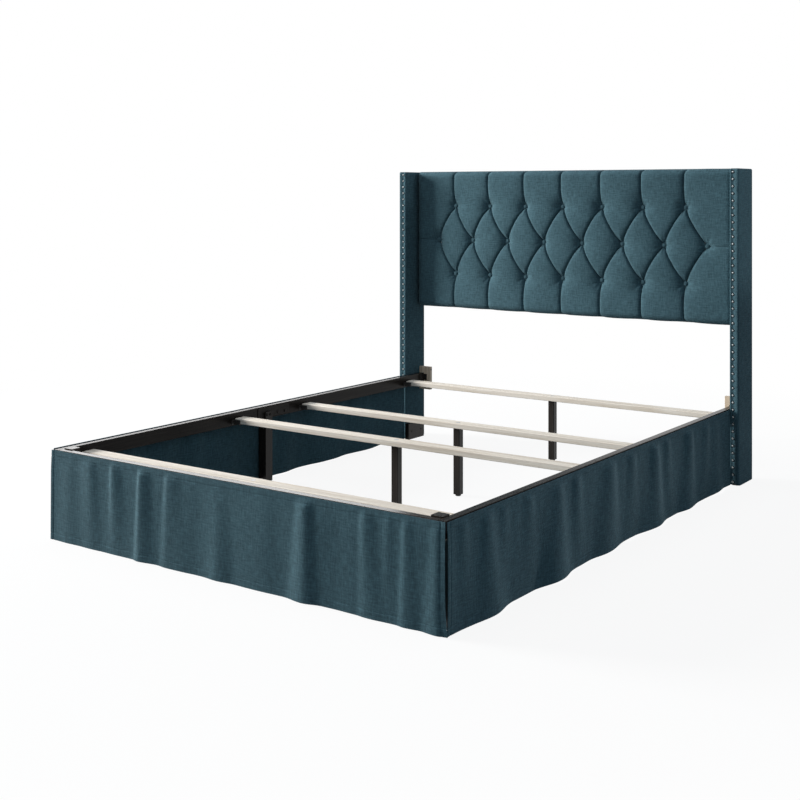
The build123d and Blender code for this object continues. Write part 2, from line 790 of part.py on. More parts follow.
def slat_bolts():
    """Bolts down through the slats into the centre legs."""
    return group(bolt(*slat_bolt(slat_y), slat_bolt_radius, slat_bolt_head_radius,
                      slat_bolt_head_height) for slat_y in slat_places)


parts = {
    "headboard_frame": headboard_frame(),
    "headboard_board": headboard_board(),
    "headboard_tufted_pad": tufted_pad(),
    "headboard_dust_cloth": headboard_dust_cloth(),
    "headboard_bolts": headboard_bolts(),
    "tuft_buttons": tuft_buttons(),
    "foot_rail": foot_rail(),
    "foot_skirt": foot_skirt(),
    "leg_inserts": leg_inserts(),
    "slat_bolts": slat_bolts(),
    "rail_bolts": rail_bolts(),
    "wood_screws": wood_screws(),
}
parts.update(skirt_strips())
for name, side in (("left", -1), ("right", 1)):
    parts["wing_core_" + name] = wing_core(side)
    parts["wing_cover_" + name] = wing_cover(side)
    parts["nailheads_" + name] = nailheads(side)
    parts["foot_block_" + name] = foot_block(side)
    parts["rail_cleat_" + name] = rail_cleat(side)
    parts["rail_end_bracket_" + name] = rail_end_bracket(side)
    parts["side_rail_" + name + "_front"] = side_rail(side, -1)
    parts["side_rail_" + name + "_rear"] = side_rail(side, 1)
    parts["rail_joint_plate_" + name] = joint_plate(side)
    parts["corner_post_" + name] = corner_post(side)
    parts["mid_rail_leg_" + name] = mid_leg(side)
    parts["side_skirt_" + name] = side_skirt(side)
    for number, slat_y in enumerate(slat_places, 1):
        parts["slat_saddle_" + name + "_" + str(number)] = slat_saddle(side, slat_y)
for number, slat_y in enumerate(slat_places, 1):
    parts["slat_" + str(number)] = slat(slat_y)
    parts["centre_leg_" + str(number)] = centre_leg(slat_y)
    parts["leg_glide_" + str(number)] = leg_glide(slat_y)

os.makedirs("parts", exist_ok=True)
for name, piece in parts.items():
    export_step(piece, "parts/" + name + ".step")
print(len(parts), "nodes")
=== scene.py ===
import math

import bmesh
import bpy
import numpy as np
from mathutils import Matrix, Vector


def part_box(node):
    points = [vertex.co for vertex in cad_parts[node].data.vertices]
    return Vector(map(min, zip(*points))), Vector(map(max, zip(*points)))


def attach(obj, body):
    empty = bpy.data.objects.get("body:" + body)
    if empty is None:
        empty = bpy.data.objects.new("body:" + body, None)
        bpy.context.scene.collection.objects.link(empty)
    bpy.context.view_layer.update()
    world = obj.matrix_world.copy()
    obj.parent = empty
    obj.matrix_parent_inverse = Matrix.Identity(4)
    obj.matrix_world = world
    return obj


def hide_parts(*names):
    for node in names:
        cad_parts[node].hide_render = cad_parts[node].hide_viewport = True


# A wingback bed: its cloth, woods and metals, in metres, +Z up, +Y towards the headboard.

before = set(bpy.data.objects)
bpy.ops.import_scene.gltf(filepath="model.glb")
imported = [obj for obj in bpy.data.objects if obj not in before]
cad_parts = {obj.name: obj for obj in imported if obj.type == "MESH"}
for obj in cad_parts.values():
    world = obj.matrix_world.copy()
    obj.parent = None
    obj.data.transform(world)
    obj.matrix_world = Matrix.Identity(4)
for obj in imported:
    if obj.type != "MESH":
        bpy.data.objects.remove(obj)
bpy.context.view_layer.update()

# Camera, as the bed is seen from in front of its right side
camera_place = (2.5756, -3.8241, 1.1719)
camera_turn = 0.6174
camera_lens = 55.55
camera_sensor = 36.0
camera_shift_y = -0.2599
camera_reach = 100.0

# Headboard pad
back_clearance = 0.0004
pad_low, pad_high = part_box("headboard_tufted_pad")
pad_half = pad_high.x
pad_half_height = (pad_high.z - pad_low.z) / 2
pad_middle = (pad_low.z + pad_high.z) / 2
pad_front = pad_low.y
pad_back = pad_high.y - back_clearance
pad_crown = 0.0255
pad_side_radius = 0.040
pad_edge_radius = 0.027
pad_sag = 0.003
pad_rise = 0.003

# Tufting: buttons, the creases between them and the grid that follows both
tuft_columns = 7
tuft_end_margin = 0.127
tuft_pitch = 2 * (pad_half - tuft_end_margin) / tuft_columns
tuft_row = pad_half_height / 2
last_button = tuft_pitch * tuft_columns / 2
cell_steps = 36
margin_steps = 30
button_drop = 0.032
button_seat = 0.0095
seat_fade_share = 0.6
board_slack = 0.003
crease_middle_drop = 0.008
crease_power = 3
uneven_crease_share = 0.10
crease_hold_steps = 0.30
edge_crease_drop = 0.005
edge_crease_power = 6
crease_bow = 0.008
edge_crease_bow = 0.004
bow_fade = 0.10

# Cloth beside the creases
wide_reach = 0.055
relax_rounds = 260
relax_ease = 1.88
shoulder_depth = 0.0060
shoulder_reach = 0.0120
slot_depth = 0.0070
slot_reach = 0.0024
pleat_shares = {"inner": 1.0, "edge": 0.9, "end": 0.35}
pucker_height = 0.0010
pucker_place = 0.024
pucker_width = 0.014
puckers_per_button = 9
lump_waves = 14
lump_rates = (8, 34)
lump_height = 0.00028
side_relief_reach = 0.045
side_relief_share = 0.15
edge_relief_reach = 0.03
edge_relief_share = 0.75

# Buttons and nailheads; each shape is (share of the radius, share of the height) from its top
button_radius = 0.0105
button_height = 0.0065
button_sides = 32
button_shares = ((0.0, 1.0), (0.22, 0.985), (0.44, 0.93), (0.64, 0.82), (0.80, 0.66),
                 (0.92, 0.45), (0.985, 0.22), (1.0, 0.05), (0.97, -0.12), (0.80, -0.20))
nail_radius = 0.0064
nail_height = 0.0040
nail_sink = 0.0008
nail_seat = 0.0003
nail_end_margin = 0.014
nails_per_wing = 44
nail_inset = 0.0145
nail_sides = 24
# Rings of each nail's top that stay pewter; the rest of the nail takes the near-black rim of patina
# and painted shade
nail_cap_rings = 4
nail_shares = ((0.0, 1.0), (0.16, 0.985), (0.32, 0.94), (0.46, 0.86), (0.58, 0.74), (0.70, 0.56),
               (0.80, 0.38), (0.88, 0.26), (0.95, 0.23), (1.0, 0.18), (1.0, 0.0))

# Wing covers
wing_edge_radius = 0.007
wing_toe_radius = 0.012
wing_steps = (0.004, 0.006, 0.0036)
rounding_lines = 6
wing_flank_share = 0.95
wing_front_share = 0.9
wing_bulge = 0.00128
wing_top_ease = 18
wing_toe_ease = 10
wing_toe_bulge_share = 0.25
wing_ripple = 0.00035
wing_ripple_rates = (9, 3, 21)
nail_dimple = 0.0010
nail_dimple_reach = 0.007
nail_valley = 0.0030
nail_valley_reach = 0.0085
wing_seam_inset = 0.0015
wing_seam_depth = 0.0022
wing_seam_width = 0.0016

# Skirts
cloth_thickness = 0.0022
skirt_step = 0.006
rim_step = 0.0008
least_step = 0.0004
top_band = 0.020
hem_band = 0.022
end_band = 0.014
band_rise = 0.0005
band_slope = 0.003
stitch_groove = 0.0010
seam_groove = 0.0004
stitch_width = 0.0016
stitch_lines = (-2, -1, -0.5, 0, 0.5, 1, 2)
foot_overrun = 0.0045
side_start = 0.004
side_overrun = 0.026
hem_fall = 0.0022
top_shifts = {"foot": 0.0, "left": 0.0033, "right": -0.0025}
flare_reach = 0.06
lift_reach = 0.16
held_share = 0.02
fold_sway = 0.012
fold_top_share = 0.55
fold_onset = 14
fold_power = 1.15
ripple_waves = 9
ripple_rates = (14, 60)
ripple_slope = 5
ripple_height = 0.00022
ripple_onset = 5

# Finishes; a scale says how often its pattern repeats in a metre
cloth_colour = (0.058, 0.117, 0.143)
slubs_across = (34.0, 210.0, 1.0)
slubs_upright = (230.0, 30.0, 1.0)
fleck_scale = (900.0, 900.0, 1.0)
cloud_scale = (4.0, 4.0, 1.0)
thread_scale = 1100.0
grain_stretch_share = 0.035
figure_share = 0.22
pore_factor = 5
pore_stretch_share = 0.3
dust_divisor = 30
pine_tones = ((0.66, 0.57, 0.46), (0.80, 0.73, 0.64), (0.86, 0.80, 0.72))
frame_tones = ((0.45, 0.33, 0.21), (0.62, 0.48, 0.33), (0.70, 0.57, 0.41))
sheet_tones = ((0.40, 0.28, 0.17), (0.55, 0.41, 0.27), (0.64, 0.50, 0.34))
raw_tones = ((0.60, 0.46, 0.33), (0.80, 0.64, 0.48), (0.90, 0.75, 0.59))
dark_tones = ((0.013, 0.010, 0.009), (0.024, 0.019, 0.016), (0.038, 0.031, 0.026))
dark_gloss = {"x": 0.18, "y": 0.09, "z": 0.18}

# Studio
world_fill = (0.22, 0.265, 0.31)
floor_half = 30.0
floor_colour = (0.26, 0.26, 0.26)
shadow_colour = (0.9, 0.9, 0.9)
shadow_share = 0.09
shadow_near = 1.6
shadow_far = 3.6

join_distance = 0.00004
skirt_join_distance = 0.00001
grid_digits = 6
tiny = 1e-9
# Sockets of the colour mix node, which share their names
mix_factor, mix_first, mix_second, mix_result = 0, 6, 7, 2
random = np.random.default_rng(7)


# Meshes

def link(piece):
    bpy.context.scene.collection.objects.link(piece)
    return piece


def smooth(mesh, material):
    mesh.polygons.foreach_set("use_smooth", np.ones(len(mesh.polygons), bool))
    mesh.materials.append(material)


def sharpen(piece, degrees):
    """Keeps the edges crisp where the surface turns by more than this."""
    piece.data.set_sharp_from_angle(angle=math.radians(degrees))


def piece_from(name, points, faces, material, uv=None):
    """A smooth mesh piece; uv holds one place per point, in metres."""
    mesh = bpy.data.meshes.new(name)
    mesh.from_pydata(np.asarray(points, float).tolist(), [], faces)
    mesh.validate()
    if uv is not None:
        corners = np.zeros(len(mesh.loops), np.int32)
        mesh.loops.foreach_get("vertex_index", corners)
        layer = mesh.uv_layers.new(name="cloth")
        layer.data.foreach_set("uv", np.asarray(uv, np.float32)[corners].ravel())
    smooth(mesh, material)
    return link(bpy.data.objects.new(name, mesh))


def tidy_shell(piece, distance=join_distance):
    """Joins points that lie together and turns every face outwards."""
    shell = bmesh.new()
    shell.from_mesh(piece.data)
    bmesh.ops.remove_doubles(shell, verts=shell.verts, dist=distance)
    bmesh.ops.dissolve_degenerate(shell, edges=shell.edges, dist=distance / 4)
    bmesh.ops.recalc_face_normals(shell, faces=shell.faces)
    shell.to_mesh(piece.data)
    shell.free()


def box_uv(piece):
    """Unwraps a piece from its three directions, in metres."""
    mesh = piece.data
    layer = mesh.uv_layers.new(name="cloth")
    for face in mesh.polygons:
        away = [abs(step) for step in face.normal]
        axis = away.index(max(away))
        first, second = ((1, 2), (0, 2), (0, 1))[axis]
        for corner in face.loop_indices:
            place = mesh.vertices[mesh.loops[corner].vertex_index].co
            layer.data[corner].uv = (place[first], place[second])


def grid_faces(rows, columns, start=0, slant=None):
    """Faces of a grid of points held row by row; slant says which way a quad is cut, or None."""
    faces = []
    for row in range(rows - 1):
        for column in range(columns - 1):
            a = start + row * columns + column
            b, c, d = a + 1, a + columns + 1, a + columns
            way = 0 if slant is None else slant[row, column]
            if way > 0:
                faces += [(a, b, c), (a, c, d)]
            elif way < 0:
                faces += [(a, b, d), (b, c, d)]
            else:
                faces.append((a, b, c, d))
    return faces


def grid_rim(rows, columns):
    """One face along the outline of a grid of points held row by row."""
    last_row = (rows - 1) * columns
    return (list(range(columns))
            + [r * columns + columns - 1 for r in range(1, rows)]
            + [last_row + k for k in reversed(range(columns - 1))]
            + [r * columns for r in reversed(range(1, rows - 1))])


def panel_faces(rows, columns):
    """Faces of a lined panel: two grids, joined along their four edges."""
    offset = rows * columns
    faces = grid_faces(rows, columns) + grid_faces(rows, columns, offset)
    for k in range(columns - 1):
        for row in (0, rows - 1):
            a = row * columns + k
            faces.append((a, a + 1, a + 1 + offset, a + offset))
    for r in range(rows - 1):
        for column in (0, columns - 1):
            a = r * columns + column
            faces.append((a, a + columns, a + columns + offset, a + offset))
    return faces


def domes(profile, sides, centres):
    """Solids of revolution about the line from back to front, one for each centre."""
    forward = Matrix.Rotation(math.pi / 2, 3, "X")
    points, faces = [], []
    angles = [2 * math.pi * k / sides for k in range(sides)]
    top, rim = profile[0], profile[1:]
    for centre in centres:
        start = len(points)
        points.append(forward @ Vector((0, 0, top[1])) + Vector(centre))
        for radius, height in rim:
            for angle in angles:
                place = Vector((radius * math.cos(angle), radius * math.sin(angle), height))
                points.append(forward @ place + Vector(centre))
        for k in range(sides):
            faces.append((start, start + 1 + k, start + 1 + (k + 1) % sides))
        for ring in range(len(rim) - 1):
            low = start + 1 + ring * sides
            for k in range(sides):
                after = (k + 1) % sides
                faces.append((low + k, low + sides + k, low + sides + after, low + after))
        last = start + 1 + (len(rim) - 1) * sides
        faces.append(tuple(last + k for k in reversed(range(sides))))
    return points, faces


# Materials

class Paint:
    """A node material being built: short names for the nodes that the finishes share."""

    def __init__(self, name, roughness, metallic=0.0, specular=0.5):
        self.material = bpy.data.materials.new(name)
        self.material.use_nodes = True
        self.tree = self.material.node_tree
        self.shader = self.tree.nodes["Principled BSDF"]
        self.shader.inputs["Roughness"].default_value = roughness
        self.shader.inputs["Metallic"].default_value = metallic
        self.shader.inputs["Specular IOR Level"].default_value = specular
        self.places = self.tree.nodes.new("ShaderNodeTexCoord")

    def node(self, kind, **sockets):
        made = self.tree.nodes.new("ShaderNode" + kind)
        for name, value in sockets.items():
            self.put(value, made.inputs[name.replace("_", " ")])
        return made

    def put(self, value, socket):
        if isinstance(value, bpy.types.NodeSocket):
            self.tree.links.new(value, socket)
        else:
            socket.default_value = value

    def stretched(self, source, scale):
        made = self.node("Mapping", Scale=scale)
        self.put(self.places.outputs[source], made.inputs["Vector"])
        return made.outputs["Vector"]

    def noise(self, vector, detail=2.0, roughness=0.5, distortion=0.0):
        made = self.node("TexNoise", Vector=vector, Scale=1.0, Detail=detail,
                         Roughness=roughness, Distortion=distortion)
        return made.outputs["Fac"]

    def sums(self, operation, *values):
        made = self.tree.nodes.new("ShaderNodeMath")
        made.operation = operation
        for socket, value in zip(made.inputs, values):
            self.put(value, socket)
        return made.outputs[0]

    def swing(self, pattern, share, least):
        """A value that follows a pattern up from its least."""
        return self.sums("MULTIPLY_ADD", pattern, share, least)

    def ramp(self, factor, *stops):
        made = self.node("ValToRGB", Fac=factor)
        stones = made.color_ramp.elements
        for _ in stops[2:]:
            stones.new(0.5)
        for stone, (place, colour) in zip(stones, stops):
            stone.position = place
            stone.color = (*colour, 1)
        return made.outputs["Color"]

    def product(self, colour, *others):
        """Colours multiplied with each other."""
        for other in others:
            made = self.tree.nodes.new("ShaderNodeMix")
            made.data_type = "RGBA"
            made.blend_type = "MULTIPLY"
            for socket, value in ((mix_factor, 1.0), (mix_first, colour), (mix_second, other)):
                self.put(value, made.inputs[socket])
            colour = made.outputs[mix_result]
        return colour

    def bump(self, height, distance, strength=0.5, normal=None):
        made = self.node("Bump", Height=height, Distance=distance, Strength=strength)
        if normal is not None:
            self.put(normal, made.inputs["Normal"])
        return made.outputs["Normal"]

    def finish(self, colour, normal, roughness=None):
        self.put(colour, self.shader.inputs["Base Color"])
        self.put(normal, self.shader.inputs["Normal"])
        if roughness is not None:
            self.put(roughness, self.shader.inputs["Roughness"])
        return self.material


def shade(colour, factor):
    return tuple(min(1.0, part * factor) for part in colour)


def woven_cloth():
    """Slate-blue linen weave: light and dark slubs both ways over fine threads."""
    paint = Paint("slate_linen", roughness=0.92, specular=0.10)
    paint.shader.inputs["Sheen Weight"].default_value = 0.04
    paint.shader.inputs["Sheen Roughness"].default_value = 0.5
    across = paint.noise(paint.stretched("UV", slubs_across), detail=3.0, roughness=0.65)
    upright = paint.noise(paint.stretched("UV", slubs_upright), detail=3.0, roughness=0.65)
    slubs = paint.sums("ADD", across, upright)
    mean = paint.sums("MULTIPLY", slubs, 0.5)
    threads = paint.ramp(mean, (0.36, shade(cloth_colour, 0.68)), (0.50, cloth_colour),
                         (0.64, shade(cloth_colour, 1.38)))
    fine = paint.noise(paint.stretched("UV", fleck_scale), detail=2.0, roughness=0.7)
    flecks = paint.ramp(fine, (0.30, (0.80, 0.80, 0.80)), (0.70, (1.16, 1.16, 1.16)))
    cloud = paint.noise(paint.stretched("UV", cloud_scale), detail=2.0)
    tone = paint.ramp(cloud, (0.30, (0.94, 0.95, 0.95)), (0.70, (1.05, 1.05, 1.04)))
    plain = paint.stretched("UV", (1.0, 1.0, 1.0))
    cells = paint.node("TexChecker", Vector=plain, Scale=thread_scale)
    weave = paint.bump(cells.outputs["Fac"], distance=0.00025, strength=0.35)
    normal = paint.bump(slubs, distance=0.0009, strength=0.6, normal=weave)
    return paint.finish(paint.product(threads, flecks, tone), normal)


def wood(name, tones, along, roughness, line_scale, bump_depth, specular=0.4):
    """Timber with its grain along the x, y or z axis."""
    paint = Paint(name, roughness, specular=specular)
    axis = "xyz".index(along)
    stretch = [line_scale] * 3
    stretch[axis] = line_scale * grain_stretch_share
    pores = [line_scale * pore_factor] * 3
    pores[axis] = line_scale * pore_stretch_share
    wide = [part * figure_share for part in stretch]
    lines = paint.noise(paint.stretched("Object", stretch), detail=4.0, roughness=0.6,
                        distortion=0.6)
    figure = paint.noise(paint.stretched("Object", wide), detail=2.0, distortion=1.2)
    pore = paint.noise(paint.stretched("Object", pores), detail=2.0, roughness=0.7)
    grain = paint.ramp(lines, (0.30, tones[0]), (0.52, tones[1]), (0.74, tones[2]))
    bands = paint.ramp(figure, (0.35, (0.88, 0.86, 0.84)), (0.65, (1.06, 1.06, 1.06)))
    fleck = paint.ramp(pore, (0.28, (0.86, 0.84, 0.82)), (0.46, (1.0, 1.0, 1.0)))
    normal = paint.bump(paint.sums("ADD", lines, pore), bump_depth)
    rough = paint.swing(lines, share=0.18, least=roughness - 0.09)
    return paint.finish(paint.product(grain, bands, fleck), normal, rough)


def metal(name, colour, roughness, wear, scale, metallic=1.0, specular=0.5):
    """Metal with a soft mottle and rubbed high spots."""
    paint = Paint(name, roughness, metallic=metallic, specular=specular)
    mottle = paint.noise(paint.stretched("Object", (scale,) * 3), detail=3.0, roughness=0.6)
    tint = paint.ramp(mottle, (0.35, shade(colour, 0.6)), (0.65, shade(colour, wear)))
    rough = paint.swing(mottle, share=0.25, least=roughness - 0.12)
    return paint.finish(tint, paint.bump(mottle, distance=0.00008), rough)


def painted(name, colour, roughness, scale, depth, specular=0.5):
    """Powder coat, moulded plastic or tape: one colour with a fine texture."""
    paint = Paint(name, roughness, specular=specular)
    grain = paint.noise(paint.stretched("Object", (scale,) * 3), detail=3.0, roughness=0.6)
    dust = paint.noise(paint.stretched("Object", (scale / dust_divisor,) * 3), detail=2.0)
    mean = paint.swing(grain, share=0.5, least=paint.sums("MULTIPLY", dust, 0.5))
    tint = paint.ramp(mean, (0.35, shade(colour, 0.75)), (0.65, shade(colour, 1.35)))
    rough = paint.swing(grain, share=0.2, least=roughness - 0.1)
    return paint.finish(tint, paint.bump(grain, depth), rough)


cloth = woven_cloth()
pale_pine = wood("pale_pine", pine_tones, along="x", roughness=0.62, line_scale=110.0,
                 bump_depth=0.0003)
dark_wood = {axis: wood("dark_wood_" + axis, dark_tones, along=axis, roughness=0.22,
                        line_scale=120.0, bump_depth=0.00006, specular=gloss)
             for axis, gloss in dark_gloss.items()}
raw_wood = wood("raw_wood", raw_tones, along="z", roughness=0.8, line_scale=140.0,
                bump_depth=0.0006)
frame_pine = wood("frame_pine", frame_tones, along="z", roughness=0.75, line_scale=110.0,
                  bump_depth=0.0005)
plywood = wood("plywood_sheet", sheet_tones, along="x", roughness=0.7, line_scale=60.0,
               bump_depth=0.0002)
pewter = metal("antique_pewter", (0.36, 0.40, 0.41), roughness=0.55, wear=1.3, scale=700.0,
               metallic=0.35, specular=0.25)
# Near-black nail rims: partly the dark patina of antique nails, partly painted shade standing in for
# the shadow round each nail
patina_and_painted_shade = metal("pewter_rim_patina_and_painted_shade", (0.010, 0.010, 0.010), roughness=0.70, wear=1.5, scale=700.0,
               metallic=0.3, specular=0.1)
zinc = metal("zinc_plate", (0.50, 0.50, 0.51), roughness=0.38, wear=1.25, scale=500.0)
black_steel = painted("black_powder_coat", (0.021, 0.018, 0.016), roughness=0.5, scale=1400.0,
                      depth=0.00012, specular=0.12)
black_plastic = painted("black_moulded_plastic", (0.014, 0.014, 0.014), roughness=0.5,
                        scale=900.0, depth=0.0001)
glide_nylon = painted("black_nylon", (0.020, 0.020, 0.020), roughness=0.55, scale=900.0,
                      depth=0.0001)
tape = painted("hook_and_loop", (0.018, 0.018, 0.020), roughness=0.95, scale=1600.0,
               depth=0.0006, specular=0.1)
dust_cloth = painted("dust_cloth", (0.018, 0.018, 0.019), roughness=0.95, scale=1100.0,
                     depth=0.0003, specular=0.1)

# The first start that fits a node's name gives its finish
node_finishes = (
    ("slat_bolts", zinc), ("slat_saddle", black_plastic), ("slat_", pale_pine),
    ("headboard_frame", frame_pine), ("headboard_board", plywood),
    ("headboard_dust_cloth", dust_cloth), ("headboard_bolts", zinc), ("wing_core", frame_pine),
    ("rail_cleat", raw_wood), ("rail_end_bracket", black_steel),
    ("rail_joint_plate", black_steel), ("rail_bolts", black_steel), ("wood_screws", black_steel),
    ("leg_inserts", zinc), ("leg_glide", glide_nylon), ("skirt_strip", tape),
    ("side_rail", dark_wood["y"]), ("foot_rail", dark_wood["x"]), ("foot_block", dark_wood["z"]),
    ("corner_post", dark_wood["z"]), ("mid_rail_leg", dark_wood["z"]),
    ("centre_leg", dark_wood["z"]),
)


def finish_nodes():
    """Gives every node that still shows its finish."""
    for name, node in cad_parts.items():
        for start, material in node_finishes:
            if name.startswith(start):
                node.data.materials.clear()
                node.data.materials.append(material)
                break


# Headboard pad

def crown_at(x):
    """How far the crowned front lies behind its middle."""
    radius = (pad_half ** 2 + pad_crown ** 2) / (2 * pad_crown)
    return radius - np.sqrt(np.maximum(radius ** 2 - x ** 2, 0))


def tuft_places():
    """Buttons as (x, height above the panel's middle), row by row."""
    short = [tuft_pitch * (i - (tuft_columns - 1) / 2) for i in range(tuft_columns)]
    long = [tuft_pitch * (i - tuft_columns / 2) for i in range(tuft_columns + 1)]
    return [(x, -tuft_row) for x in short], [(x, 0.0) for x in long], [(x, tuft_row) for x in short]


def button_places():
    return sum(tuft_places(), [])


def rolled(half, radius, depth, flat_lines, roll_steps, back_steps):
    """Lines across one half of the pad, out to its edge and back.

    Gives the arc length, the place across and the drop of each line, and the share of the
    depth past the roll that it has gone back."""
    arc, place = list(flat_lines), list(flat_lines)
    drop, back = [0.0] * len(flat_lines), [0.0] * len(flat_lines)
    for k in range(roll_steps):
        turn = math.pi / 2 * (k + 1) / roll_steps
        arc.append(half - radius + radius * turn)
        place.append(half - radius + radius * math.sin(turn))
        drop.append(radius * (1 - math.cos(turn)))
        back.append(0.0)
    for k in range(back_steps):
        share = (k + 1) / back_steps
        arc.append(half - radius + radius * math.pi / 2 + share * depth)
        place.append(half)
        drop.append(radius)
        back.append(share)
    return [np.array(line) for line in (arc, place, drop, back)]


def mirrored(lines):
    """The same lines on both sides of the middle, where arc and place change sign."""
    signs = (-1, -1, 1, 1)
    return [np.concatenate([(sign * line)[:0:-1], line]) for sign, line in zip(signs, lines)]


def pad_lines():
    """The pad's grid lines across it and up it, finest where the creases run."""
    cells = np.linspace(0, last_button, tuft_columns * cell_steps + 1)
    margin = np.linspace(last_button, pad_half - pad_side_radius, margin_steps + 1)[1:]
    side_depth = pad_back - pad_front - pad_crown - pad_side_radius
    across = rolled(pad_half, pad_side_radius, side_depth, np.concatenate([cells, margin]),
                    roll_steps=14, back_steps=5)
    cells = np.linspace(0, tuft_row, cell_steps + 1)
    margin = np.linspace(tuft_row, pad_half_height - pad_edge_radius, margin_steps + 1)[1:]
    edge_depth = pad_back - pad_front - pad_edge_radius
    up = rolled(pad_half_height, pad_edge_radius, edge_depth, np.concatenate([cells, margin]),
                roll_steps=10, back_steps=6)
    return mirrored(across), mirrored(up)


def distance_to(points_s, points_t, start, end):
    """Distance from each grid place to a segment, and how far along it the nearest point is."""
    way = np.array(end) - np.array(start)
    share = ((points_s - start[0]) * way[0] + (points_t - start[1]) * way[1]) / (way @ way)
    share = np.clip(share, 0, 1)
    off = np.hypot(points_s - start[0] - share * way[0], points_t - start[1] - share * way[1])
    return off, share


def relaxed(held, values, across, up):
    """Cloth over foam: held places keep their drop, and the rest eases back over its reach."""
    drop = np.where(held, values, 0.0)
    weights = []
    for line, shape in ((across, (1, -1)), (up, (-1, 1))):
        gap = np.diff(line)
        before = np.concatenate([gap[:1], gap])
        after = np.concatenate([gap, gap[-1:]])
        low, high = 2 / (before * (before + after)), 2 / (after * (before + after))
        weights += [low.reshape(shape), high.reshape(shape)]
    total = sum(weights) + 1 / wide_reach ** 2
    rows, columns = np.indices(drop.shape)
    odd = (rows + columns) % 2 == 1
    for _ in range(relax_rounds):
        for colour in (odd, ~odd):
            padded = np.pad(drop, 1, mode="edge")
            near = (weights[0] * padded[1:-1, :-2] + weights[1] * padded[1:-1, 2:]
                    + weights[2] * padded[:-2, 1:-1] + weights[3] * padded[2:, 1:-1]) / total
            free = colour & ~held
            drop[free] += relax_ease * (near[free] - drop[free])
    return drop


def seat_drop(x):
    """How deep a button sits: less towards the ends, where the crowned foam is thinner."""
    board_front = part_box("headboard_board")[0].y
    return np.minimum(button_drop, board_front - board_slack - pad_front - crown_at(x))


def crease_drop(share, start, middle, end):
    """Depth along a crease between two buttons."""
    near = np.where(share < 0.5, start, end)
    return middle + (near - middle) * np.abs(2 * share - 1) ** crease_power


def past_rows(heights):
    """How far each height lies from the outer rows of buttons to the pad's edge, as a share."""
    return np.clip((np.abs(heights) - tuft_row) / (pad_half_height - tuft_row), 0, 1)


def bow_at(heights):
    """How far the cloth lies off to the left between the rows, where its folds lap over."""
    between = np.abs(heights) / tuft_row
    past = past_rows(heights)
    return np.where(between < 1, crease_bow * 4 * between * (1 - between),
                    edge_crease_bow * 4 * past * (1 - past))


def crease_lines(side_end, edge_end):
    """Every crease as (kind, start, end).

    Inner creases join neighbouring buttons, edge creases run from a button to the pad's top or
    bottom edge, and end creases from the last buttons of the middle row to its sides."""
    low, middle, high = tuft_places()
    creases = []
    for i in range(tuft_columns):
        for row in (low, high):
            creases += [("inner", middle[i], row[i]), ("inner", row[i], middle[i + 1])]
            edge = (row[i][0], math.copysign(edge_end, row[i][1]))
            creases.append(("edge", row[i], edge))
    for last in (middle[0], middle[-1]):
        creases.append(("end", last, (math.copysign(side_end, last[0]), 0.0)))
    return creases


def creased(grid_s, grid_t, creases):
    """Where creases and buttons hold the cloth, how deep, and the narrow pleats beside them."""
    held = np.zeros(grid_s.shape, bool)
    values = np.zeros(grid_s.shape)
    narrow = np.zeros(grid_s.shape)
    hold = tuft_pitch / 2 / cell_steps * crease_hold_steps
    for kind, start, end in creases:
        off, share = distance_to(grid_s, grid_t, start, end)
        uneven = 1 + uneven_crease_share * random.standard_normal()
        seat = float(seat_drop(start[0]))
        if kind == "inner":
            depth = crease_drop(share, seat, crease_middle_drop * uneven, float(seat_drop(end[0])))
        elif kind == "edge":
            depth = (edge_crease_drop * uneven
                     + (seat - edge_crease_drop) * (1 - share) ** edge_crease_power)
        if kind != "end":
            on_line = off < hold
            held |= on_line
            values = np.where(on_line, np.maximum(values, depth), values)
        pleat = shoulder_depth * np.exp(-off / shoulder_reach) + slot_depth * np.exp(-off / slot_reach)
        narrow = np.maximum(narrow, pleat_shares[kind] * pleat)
    for x, t in button_places():
        off = np.hypot(grid_s - x, grid_t - t)
        seat = off < button_seat
        held |= seat
        values = np.where(seat, float(seat_drop(x)), values)
        narrow = narrow * np.clip((off / button_seat - 1) / seat_fade_share, 0, 1)
    return held, values, narrow


def puckers(grid_s, grid_t):
    """Small ridges that fan out from every button."""
    ripple = np.zeros(grid_s.shape)
    for x, t in button_places():
        off = np.hypot(grid_s - x, grid_t - t)
        angle = np.arctan2(grid_t - t, grid_s - x)
        turn = random.uniform(0, 2 * math.pi)
        ripple += (pucker_height * np.exp(-((off - pucker_place) / pucker_width) ** 2)
                   * np.cos(puckers_per_button * angle + turn))
    return ripple


def lumps(grid_s, grid_t):
    """The faint unevenness of the filling."""
    total = np.zeros(grid_s.shape)
    for _ in range(lump_waves):
        wave = random.uniform(*lump_rates, 2)
        turn = random.uniform(0, 2 * math.pi, 2)
        total += lump_height * np.sin(wave[0] * grid_s + turn[0]) * np.sin(wave[1] * grid_t + turn[1])
    return total


def pad_relief(grid_s, grid_t, across, up):
    """How far the tufted front sinks below its base surface at each grid place."""
    held, values, narrow = creased(grid_s, grid_t, crease_lines(across[-1], up[-1]))
    wide = relaxed(held, values, across, up)
    return wide + narrow + puckers(grid_s, grid_t) + lumps(grid_s, grid_t)


def kept_relief(grid_s, grid_t):
    """How much of the relief is left past the start of each roll, across and up."""
    side = pad_half - pad_side_radius
    keep_s = np.interp(np.abs(grid_s), [side, side + side_relief_reach, grid_s.max()],
                       [1, side_relief_share, 0])
    edge = pad_half_height - pad_edge_radius
    roll_end = edge + pad_edge_radius * math.pi / 2
    keep_t = np.interp(np.abs(grid_t), [edge, roll_end, roll_end + edge_relief_reach],
                       [1, edge_relief_share, 0])
    return keep_s, keep_t


